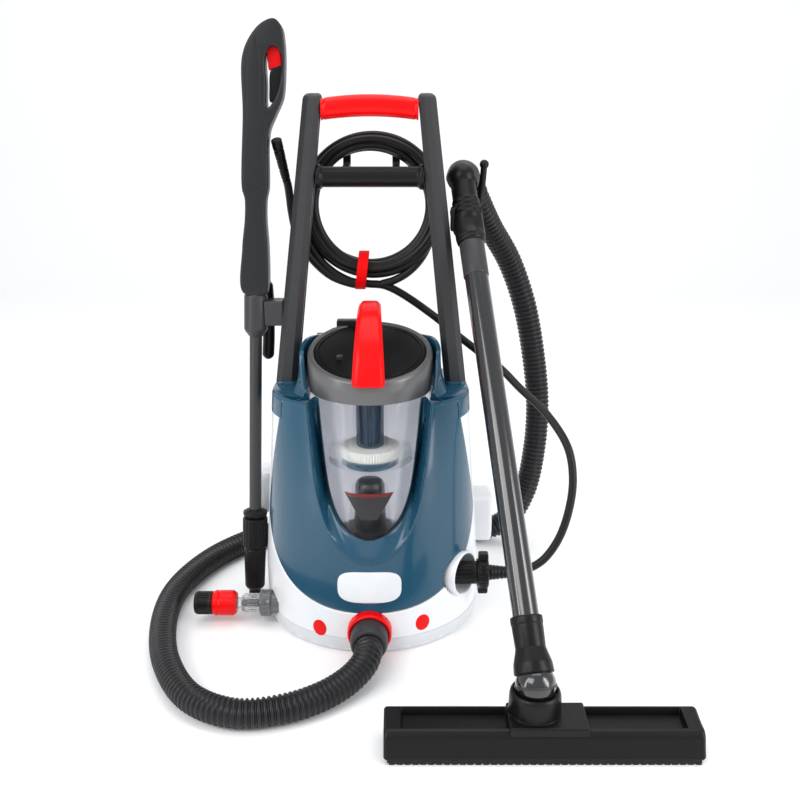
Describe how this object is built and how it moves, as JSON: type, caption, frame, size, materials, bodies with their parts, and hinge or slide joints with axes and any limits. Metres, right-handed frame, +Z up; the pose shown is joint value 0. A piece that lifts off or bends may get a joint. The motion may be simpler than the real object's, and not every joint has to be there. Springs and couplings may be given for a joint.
{
  "type": "carpet cleaner machine",
  "caption": "Upright washer and vacuum machine with a clear tank, tall handle frame, coiled pressure hose, spray lance, ribbed suction hose, wand and floor nozzle.",
  "frame": {"origin": "centre of the base's flat underside, on the surface it stands on", "axes": "+Z up, -Y to the front where the suction port and tank window are, +X to the machine's right-hand side as seen from the front"},
  "size_m": [0.703, 0.6283, 0.8234],
  "materials": {
    "white_shell": "smooth glossy white moulding",
    "blue_shell": "glossy petrol blue moulding",
    "pan_grey": "light grey satin moulding",
    "red_plastic": "glossy red moulding",
    "black_plastic": "black fine-grained moulding",
    "graphite_plastic": "charcoal satin moulding",
    "gunmetal": "dark metallic moulding",
    "clear_tank": "clear smoky plastic",
    "clear_adapter": "clear ribbed plastic",
    "pleat_white": "pleated filter paper",
    "tyre_rubber": "dull black rubber",
    "hose_black": "black ribbed hose",
    "jacket_rubber": "black hose jacket",
    "strap_red": "red hook-and-loop strap",
    "steel": "drawn steel",
    "cast_alloy": "cast alloy",
    "tube_black": "glossy black tube",
    "brush_black": "black brush strip"
  },
  "bodies": {
    "root": {"base_pan": "pan_grey", "base_housing": "white_shell", "front_shell": "blue_shell", "rear_housing": "white_shell", "top_cowl": "blue_shell", "badge_plate": "white_shell", "side_pod_right": "white_shell", "side_pod_left": "white_shell", "port_ring": "red_plastic", "outlet_bezel": "white_shell", "outlet_socket": "black_plastic", "outlet_sleeve": "black_plastic", "inlet_flange": "black_plastic", "inlet_adapter": "clear_adapter", "upright_right": "graphite_plastic", "upright_left": "graphite_plastic", "crossbar": "black_plastic", "grip": "red_plastic", "wheel_axle": "steel", "pump_head": "cast_alloy", "pump_motor": "cast_alloy", "vacuum_motor": "cast_alloy", "switch_housing": "black_plastic", "cable_gland": "black_plastic", "gun_holder": "graphite_plastic", "wand_holder": "black_plastic", "vacuum_hose": "hose_black", "hose_coil": "jacket_rubber", "hose_to_outlet": "jacket_rubber", "hose_to_gun": "jacket_rubber", "hose_strap": "strap_red"},
    "front_cuff": {"front_cuff": "graphite_plastic"},
    "tank": {"dust_tank": "clear_tank", "lid_rim": "gunmetal", "lid_disc": "black_plastic", "float_cage": "graphite_plastic", "filter_cartridge": "pleat_white", "filter_cap": "blue_shell"},
    "handle": {"tank_handle": "red_plastic"},
    "wheel_left": {"wheel_hub_left": "white_shell", "tyre_left": "tyre_rubber"},
    "wheel_right": {"wheel_hub_right": "white_shell", "tyre_right": "tyre_rubber"},
    "switch": {"power_switch": "red_plastic"},
    "connector_sleeve": {"connector_sleeve": "red_plastic"},
    "connector_nut": {"connector_nut": "black_plastic"},
    "outlet_nut": {"outlet_nut": "black_plastic"},
    "gun": {"gun_body": "graphite_plastic", "lance_tube": "graphite_plastic", "gun_hose_sleeve": "black_plastic"},
    "trigger": {"gun_trigger": "red_plastic"},
    "lance_collar": {"lance_collar": "black_plastic"},
    "spray_nozzle": {"spray_nozzle": "black_plastic"},
    "wand": {"wand_head": "black_plastic", "wand_tube": "tube_black"},
    "neck": {"nozzle_neck": "black_plastic"},
    "floor_nozzle": {"floor_nozzle": "black_plastic", "brush_front": "brush_black", "brush_back": "brush_black"}
  },
  "joints": [
    {"name": "front_cuff_turn", "type": "hinge", "parent": "root", "child": "front_cuff", "pos_m": [0, -0.15, 0.035], "axis": [0, -1, 0], "range_deg": [0, 45]},
    {"name": "tank_lift", "type": "slide", "parent": "root", "child": "tank", "axis": [0, 0.0698, 0.9976], "range_m": [0, 0.06]},
    {"name": "handle_swing", "type": "hinge", "parent": "tank", "child": "handle", "pos_m": [0, 0.066, 0.418], "axis": [-1, 0, 0], "range_deg": [0, 35]},
    {"name": "wheel_left_spin", "type": "hinge", "parent": "root", "child": "wheel_left", "pos_m": [-0.135, 0.14, 0.038], "axis": [1, 0, 0], "continuous": true},
    {"name": "wheel_right_spin", "type": "hinge", "parent": "root", "child": "wheel_right", "pos_m": [0.135, 0.14, 0.038], "axis": [1, 0, 0], "continuous": true},
    {"name": "switch_turn", "type": "hinge", "parent": "root", "child": "switch", "pos_m": [-0.058, 0.101, 0.416], "axis": [0, 0, 1], "range_deg": [0, 90]},
    {"name": "connector_slide", "type": "slide", "parent": "root", "child": "connector_sleeve", "axis": [1, 0, 0], "range_m": [0, 0.005], "stiffness_N_per_m": 400, "springref_m": -0.003},
    {"name": "connector_nut_turn", "type": "hinge", "parent": "root", "child": "connector_nut", "pos_m": [-0.24, -0.06, 0.03], "axis": [-1, 0, 0], "continuous": true},
    {"name": "outlet_nut_turn", "type": "hinge", "parent": "root", "child": "outlet_nut", "pos_m": [0.156, -0.078, 0.088], "axis": [1, 0, 0], "continuous": true},
    {"name": "gun_lift", "type": "slide", "parent": "root", "child": "gun", "axis": [0.0342, 0.0976, 0.9946], "range_m": [0, 0.04]},
    {"name": "trigger_pull", "type": "hinge", "parent": "gun", "child": "trigger", "pos_m": [-0.13222, 0.0731, 0.77272], "axis": [-0.0017, 0.9952, -0.0976], "range_deg": [0, 9], "stiffness_Nm_per_rad": 0.5, "springref_deg": -5.73},
    {"name": "collar_turn", "type": "hinge", "parent": "gun", "child": "lance_collar", "pos_m": [-0.17147, 0.01096, 0.14], "axis": [0.0342, 0.0976, 0.9946], "continuous": true},
    {"name": "spray_turn", "type": "hinge", "parent": "gun", "child": "spray_nozzle", "pos_m": [-0.17421, 0.0031, 0.06], "axis": [0.0342, 0.0976, 0.9946], "range_deg": [0, 90]},
    {"name": "wand_lift", "type": "slide", "parent": "root", "child": "wand", "axis": [-0.1024, 0.622, 0.7763], "range_m": [0, 0.04]},
    {"name": "neck_swivel", "type": "hinge", "parent": "wand", "child": "neck", "pos_m": [0.1985, -0.3336, 0.0781], "axis": [-0.1024, 0.622, 0.7763], "range_deg": [-15, 15]},
    {"name": "nozzle_tilt", "type": "hinge", "parent": "neck", "child": "floor_nozzle", "pos_m": [0.1985, -0.3336, 0.0781], "axis": [1, 0, 0], "range_deg": [-40, 18]}
  ]
}
